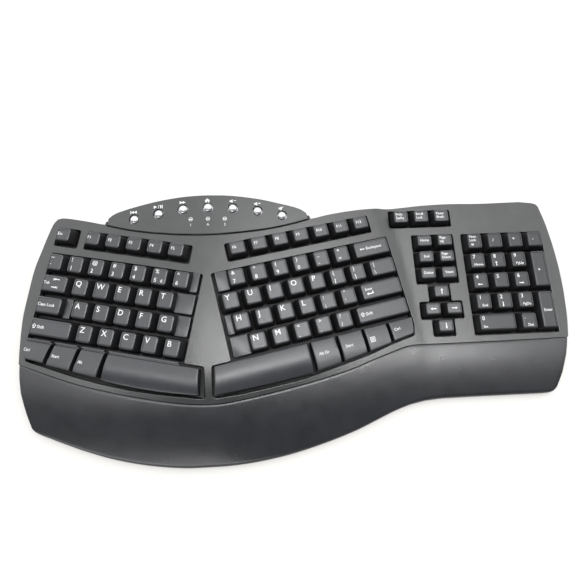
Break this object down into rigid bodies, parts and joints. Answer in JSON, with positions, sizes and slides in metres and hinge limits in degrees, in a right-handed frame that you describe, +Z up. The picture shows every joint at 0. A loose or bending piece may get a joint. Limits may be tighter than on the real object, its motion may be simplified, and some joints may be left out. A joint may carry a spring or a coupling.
{
  "type": "ergonomic split keyboard",
  "caption": "Wired desktop keyboard with a split and tented key field, a curved palm rest, a keypad and a row of round media buttons; every key springs back and two rear feet fold out.",
  "frame": {"origin": "centre of the bounding box in plan, at the desk under the rubber feet", "axes": "X to the right of the typist, Y to the rear, Z up"},
  "size_m": [0.4865, 0.2328, 0.0458],
  "materials": {
    "case_plastic": "fine satin texture",
    "palm_plastic": "fine satin texture",
    "key_plastic": "matte, finely textured tops with white lettering",
    "dark_plastic": "matte",
    "silver_plastic": "satin silver",
    "silicone": "translucent rubber",
    "film": "printed film",
    "steel": "plain",
    "circuit_board": "solder mask",
    "light_pipe": "clear",
    "foot_rubber": "matte"
  },
  "bodies": {
    "case": {"bottom_cover": "dark_plastic", "top_cover": "case_plastic", "palm_rest": "palm_plastic", "media_panel": "case_plastic", "key_frames": "dark_plastic", "dome_sheets": "silicone", "membranes": "film", "backplates": "steel", "controller_board": "circuit_board", "media_board": "circuit_board", "indicator_lights": "light_pipe", "case_screws": "steel", "rubber_feet": "foot_rubber", "cable_gland": "foot_rubber"},
    "escape_key": {"escape_key": "key_plastic"},
    "function_keys_left": {"function_keys_left": "key_plastic"},
    "function_keys_right": {"function_keys_right": "key_plastic"},
    "system_keys": {"system_keys": "key_plastic"},
    "number_keys_left": {"number_keys_left": "key_plastic"},
    "number_keys_right": {"number_keys_right": "key_plastic"},
    "backspace_key": {"backspace_key": "key_plastic"},
    "tab_key": {"tab_key": "key_plastic"},
    "letter_keys_upper_left": {"letter_keys_upper_left": "key_plastic"},
    "letter_keys_upper_right": {"letter_keys_upper_right": "key_plastic"},
    "backslash_key": {"backslash_key": "key_plastic"},
    "caps_lock_key": {"caps_lock_key": "key_plastic"},
    "letter_keys_home_left": {"letter_keys_home_left": "key_plastic"},
    "letter_keys_home_right": {"letter_keys_home_right": "key_plastic"},
    "enter_key": {"enter_key": "key_plastic"},
    "left_shift_key": {"left_shift_key": "key_plastic"},
    "letter_keys_lower_left": {"letter_keys_lower_left": "key_plastic"},
    "letter_keys_lower_right": {"letter_keys_lower_right": "key_plastic"},
    "right_shift_key": {"right_shift_key": "key_plastic"},
    "left_ctrl_key": {"left_ctrl_key": "key_plastic"},
    "left_start_key": {"left_start_key": "key_plastic"},
    "left_alt_key": {"left_alt_key": "key_plastic"},
    "left_space_bar": {"left_space_bar": "key_plastic"},
    "right_space_bar": {"right_space_bar": "key_plastic"},
    "right_alt_key": {"right_alt_key": "key_plastic"},
    "right_start_key": {"right_start_key": "key_plastic"},
    "menu_key": {"menu_key": "key_plastic"},
    "right_ctrl_key": {"right_ctrl_key": "key_plastic"},
    "navigation_keys": {"navigation_keys": "key_plastic"},
    "arrow_keys": {"arrow_keys": "key_plastic"},
    "keypad_digit_keys": {"keypad_digit_keys": "key_plastic"},
    "keypad_zero_key": {"keypad_zero_key": "key_plastic"},
    "keypad_plus_key": {"keypad_plus_key": "key_plastic"},
    "keypad_enter_key": {"keypad_enter_key": "key_plastic"},
    "keypad_operator_keys": {"keypad_operator_keys": "key_plastic"},
    "previous_button": {"previous_button": "silver_plastic"},
    "play_button": {"play_button": "silver_plastic"},
    "next_button": {"next_button": "silver_plastic"},
    "home_button": {"home_button": "silver_plastic"},
    "volume_down_button": {"volume_down_button": "silver_plastic"},
    "volume_up_button": {"volume_up_button": "silver_plastic"},
    "mute_button": {"mute_button": "silver_plastic"},
    "left_tilt_foot": {"left_tilt_foot": "dark_plastic"},
    "right_tilt_foot": {"right_tilt_foot": "dark_plastic"},
    "left_space_stabilizer": {"left_space_stabilizer": "steel"},
    "right_space_stabilizer": {"right_space_stabilizer": "steel"}
  },
  "joints": [
    {"name": "escape_press", "type": "slide", "parent": "case", "child": "escape_key", "axis": [0.119, 0.0469, -0.9918], "range_m": [0, 0.0032], "stiffness_N_per_m": 150, "springref_m": -0.003, "deforming": ["dome_sheets"]},
    {"name": "function_left_press", "type": "slide", "parent": "case", "child": "function_keys_left", "axis": [0.119, 0.0469, -0.9918], "range_m": [0, 0.0032], "stiffness_N_per_m": 150, "springref_m": -0.003, "deforming": ["dome_sheets"]},
    {"name": "function_right_press", "type": "slide", "parent": "case", "child": "function_keys_right", "axis": [-0.119, 0.0469, -0.9918], "range_m": [0, 0.0032], "stiffness_N_per_m": 150, "springref_m": -0.003, "deforming": ["dome_sheets"]},
    {"name": "system_press", "type": "slide", "parent": "case", "child": "system_keys", "axis": [0, 0.0297, -0.9996], "range_m": [0, 0.0032], "stiffness_N_per_m": 150, "springref_m": -0.003, "deforming": ["dome_sheets"]},
    {"name": "number_left_press", "type": "slide", "parent": "case", "child": "number_keys_left", "axis": [0.119, 0.0469, -0.9918], "range_m": [0, 0.0032], "stiffness_N_per_m": 150, "springref_m": -0.003, "deforming": ["dome_sheets"]},
    {"name": "number_right_press", "type": "slide", "parent": "case", "child": "number_keys_right", "axis": [-0.119, 0.0469, -0.9918], "range_m": [0, 0.0032], "stiffness_N_per_m": 150, "springref_m": -0.003, "deforming": ["dome_sheets"]},
    {"name": "backspace_press", "type": "slide", "parent": "case", "child": "backspace_key", "axis": [-0.119, 0.0469, -0.9918], "range_m": [0, 0.0032], "stiffness_N_per_m": 150, "springref_m": -0.003, "deforming": ["dome_sheets"]},
    {"name": "tab_press", "type": "slide", "parent": "case", "child": "tab_key", "axis": [0.119, 0.0469, -0.9918], "range_m": [0, 0.0032], "stiffness_N_per_m": 150, "springref_m": -0.003, "deforming": ["dome_sheets"]},
    {"name": "letter_upper_left_press", "type": "slide", "parent": "case", "child": "letter_keys_upper_left", "axis": [0.119, 0.0469, -0.9918], "range_m": [0, 0.0032], "stiffness_N_per_m": 150, "springref_m": -0.003, "deforming": ["dome_sheets"]},
    {"name": "letter_upper_right_press", "type": "slide", "parent": "case", "child": "letter_keys_upper_right", "axis": [-0.119, 0.0469, -0.9918], "range_m": [0, 0.0032], "stiffness_N_per_m": 150, "springref_m": -0.003, "deforming": ["dome_sheets"]},
    {"name": "backslash_press", "type": "slide", "parent": "case", "child": "backslash_key", "axis": [-0.119, 0.0469, -0.9918], "range_m": [0, 0.0032], "stiffness_N_per_m": 150, "springref_m": -0.003, "deforming": ["dome_sheets"]},
    {"name": "caps_lock_press", "type": "slide", "parent": "case", "child": "caps_lock_key", "axis": [0.119, 0.0469, -0.9918], "range_m": [0, 0.0032], "stiffness_N_per_m": 150, "springref_m": -0.003, "deforming": ["dome_sheets"]},
    {"name": "letter_home_left_press", "type": "slide", "parent": "case", "child": "letter_keys_home_left", "axis": [0.119, 0.0469, -0.9918], "range_m": [0, 0.0032], "stiffness_N_per_m": 150, "springref_m": -0.003, "deforming": ["dome_sheets"]},
    {"name": "letter_home_right_press", "type": "slide", "parent": "case", "child": "letter_keys_home_right", "axis": [-0.119, 0.0469, -0.9918], "range_m": [0, 0.0032], "stiffness_N_per_m": 150, "springref_m": -0.003, "deforming": ["dome_sheets"]},
    {"name": "enter_press", "type": "slide", "parent": "case", "child": "enter_key", "axis": [-0.119, 0.0469, -0.9918], "range_m": [0, 0.0032], "stiffness_N_per_m": 150, "springref_m": -0.003, "deforming": ["dome_sheets"]},
    {"name": "left_shift_press", "type": "slide", "parent": "case", "child": "left_shift_key", "axis": [0.119, 0.0469, -0.9918], "range_m": [0, 0.0032], "stiffness_N_per_m": 150, "springref_m": -0.003, "deforming": ["dome_sheets"]},
    {"name": "letter_lower_left_press", "type": "slide", "parent": "case", "child": "letter_keys_lower_left", "axis": [0.119, 0.0469, -0.9918], "range_m": [0, 0.0032], "stiffness_N_per_m": 150, "springref_m": -0.003, "deforming": ["dome_sheets"]},
    {"name": "letter_lower_right_press", "type": "slide", "parent": "case", "child": "letter_keys_lower_right", "axis": [-0.119, 0.0469, -0.9918], "range_m": [0, 0.0032], "stiffness_N_per_m": 150, "springref_m": -0.003, "deforming": ["dome_sheets"]},
    {"name": "right_shift_press", "type": "slide", "parent": "case", "child": "right_shift_key", "axis": [-0.119, 0.0469, -0.9918], "range_m": [0, 0.0032], "stiffness_N_per_m": 150, "springref_m": -0.003, "deforming": ["dome_sheets"]},
    {"name": "left_ctrl_press", "type": "slide", "parent": "case", "child": "left_ctrl_key", "axis": [0.119, 0.0469, -0.9918], "range_m": [0, 0.0032], "stiffness_N_per_m": 150, "springref_m": -0.003, "deforming": ["dome_sheets"]},
    {"name": "left_start_press", "type": "slide", "parent": "case", "child": "left_start_key", "axis": [0.119, 0.0469, -0.9918], "range_m": [0, 0.0032], "stiffness_N_per_m": 150, "springref_m": -0.003, "deforming": ["dome_sheets"]},
    {"name": "left_alt_press", "type": "slide", "parent": "case", "child": "left_alt_key", "axis": [0.119, 0.0469, -0.9918], "range_m": [0, 0.0032], "stiffness_N_per_m": 150, "springref_m": -0.003, "deforming": ["dome_sheets"]},
    {"name": "left_space_press", "type": "slide", "parent": "case", "child": "left_space_bar", "axis": [0.119, 0.0469, -0.9918], "range_m": [0, 0.0032], "stiffness_N_per_m": 150, "springref_m": -0.003, "deforming": ["dome_sheets"]},
    {"name": "right_space_press", "type": "slide", "parent": "case", "child": "right_space_bar", "axis": [-0.119, 0.0469, -0.9918], "range_m": [0, 0.0032], "stiffness_N_per_m": 150, "springref_m": -0.003, "deforming": ["dome_sheets"]},
    {"name": "right_alt_press", "type": "slide", "parent": "case", "child": "right_alt_key", "axis": [-0.119, 0.0469, -0.9918], "range_m": [0, 0.0032], "stiffness_N_per_m": 150, "springref_m": -0.003, "deforming": ["dome_sheets"]},
    {"name": "right_start_press", "type": "slide", "parent": "case", "child": "right_start_key", "axis": [-0.119, 0.0469, -0.9918], "range_m": [0, 0.0032], "stiffness_N_per_m": 150, "springref_m": -0.003, "deforming": ["dome_sheets"]},
    {"name": "menu_press", "type": "slide", "parent": "case", "child": "menu_key", "axis": [-0.119, 0.0469, -0.9918], "range_m": [0, 0.0032], "stiffness_N_per_m": 150, "springref_m": -0.003, "deforming": ["dome_sheets"]},
    {"name": "right_ctrl_press", "type": "slide", "parent": "case", "child": "right_ctrl_key", "axis": [-0.119, 0.0469, -0.9918], "range_m": [0, 0.0032], "stiffness_N_per_m": 150, "springref_m": -0.003, "deforming": ["dome_sheets"]},
    {"name": "navigation_press", "type": "slide", "parent": "case", "child": "navigation_keys", "axis": [0, 0.0297, -0.9996], "range_m": [0, 0.0032], "stiffness_N_per_m": 150, "springref_m": -0.003, "deforming": ["dome_sheets"]},
    {"name": "arrow_press", "type": "slide", "parent": "case", "child": "arrow_keys", "axis": [0, 0.0297, -0.9996], "range_m": [0, 0.0032], "stiffness_N_per_m": 150, "springref_m": -0.003, "deforming": ["dome_sheets"]},
    {"name": "keypad_digit_press", "type": "slide", "parent": "case", "child": "keypad_digit_keys", "axis": [0, 0.0297, -0.9996], "range_m": [0, 0.0032], "stiffness_N_per_m": 150, "springref_m": -0.003, "deforming": ["dome_sheets"]},
    {"name": "keypad_zero_press", "type": "slide", "parent": "case", "child": "keypad_zero_key", "axis": [0, 0.0297, -0.9996], "range_m": [0, 0.0032], "stiffness_N_per_m": 150, "springref_m": -0.003, "deforming": ["dome_sheets"]},
    {"name": "keypad_plus_press", "type": "slide", "parent": "case", "child": "keypad_plus_key", "axis": [0, 0.0297, -0.9996], "range_m": [0, 0.0032], "stiffness_N_per_m": 150, "springref_m": -0.003, "deforming": ["dome_sheets"]},
    {"name": "keypad_enter_press", "type": "slide", "parent": "case", "child": "keypad_enter_key", "axis": [0, 0.0297, -0.9996], "range_m": [0, 0.0032], "stiffness_N_per_m": 150, "springref_m": -0.003, "deforming": ["dome_sheets"]},
    {"name": "keypad_operator_press", "type": "slide", "parent": "case", "child": "keypad_operator_keys", "axis": [0, 0.0297, -0.9996], "range_m": [0, 0.0032], "stiffness_N_per_m": 150, "springref_m": -0.003, "deforming": ["dome_sheets"]},
    {"name": "previous_button_press", "type": "slide", "parent": "case", "child": "previous_button", "axis": [0, 0, -1], "range_m": [0, 0.0008], "stiffness_N_per_m": 100, "springref_m": -0.002},
    {"name": "play_button_press", "type": "slide", "parent": "case", "child": "play_button", "axis": [0, 0, -1], "range_m": [0, 0.0008], "stiffness_N_per_m": 100, "springref_m": -0.002},
    {"name": "next_button_press", "type": "slide", "parent": "case", "child": "next_button", "axis": [0, 0, -1], "range_m": [0, 0.0008], "stiffness_N_per_m": 100, "springref_m": -0.002},
    {"name": "home_button_press", "type": "slide", "parent": "case", "child": "home_button", "axis": [0, 0, -1], "range_m": [0, 0.0008], "stiffness_N_per_m": 100, "springref_m": -0.002},
    {"name": "volume_down_button_press", "type": "slide", "parent": "case", "child": "volume_down_button", "axis": [0, 0, -1], "range_m": [0, 0.0008], "stiffness_N_per_m": 100, "springref_m": -0.002},
    {"name": "volume_up_button_press", "type": "slide", "parent": "case", "child": "volume_up_button", "axis": [0, 0, -1], "range_m": [0, 0.0008], "stiffness_N_per_m": 100, "springref_m": -0.002},
    {"name": "mute_button_press", "type": "slide", "parent": "case", "child": "mute_button", "axis": [0, 0, -1], "range_m": [0, 0.0008], "stiffness_N_per_m": 100, "springref_m": -0.002},
    {"name": "left_tilt_foot_hinge", "type": "hinge", "parent": "case", "child": "left_tilt_foot", "pos_m": [-0.178, 0.084, 0.0044], "axis": [1, 0, 0], "range_deg": [0, 85]},
    {"name": "right_tilt_foot_hinge", "type": "hinge", "parent": "case", "child": "right_tilt_foot", "pos_m": [0.184, 0.1004, 0.0044], "axis": [1, 0, 0], "range_deg": [0, 85]},
    {"name": "left_space_stabilizer_swing", "type": "hinge", "parent": "case", "child": "left_space_stabilizer", "pos_m": [-0.12429, -0.03375, 0.02855], "axis": [0.9708, -0.2152, 0.1063], "range_deg": [0, 18.51]},
    {"name": "right_space_stabilizer_swing", "type": "hinge", "parent": "case", "child": "right_space_stabilizer", "pos_m": [-0.03616, -0.03333, 0.02702], "axis": [0.9708, 0.2152, -0.1063], "range_deg": [0, 18.51]}
  ],
  "couplings": [
    {"joint": "left_space_stabilizer_swing", "follows": "left_space_press", "rad_per_m": 100.43},
    {"joint": "right_space_stabilizer_swing", "follows": "right_space_press", "rad_per_m": 100.43}
  ]
}
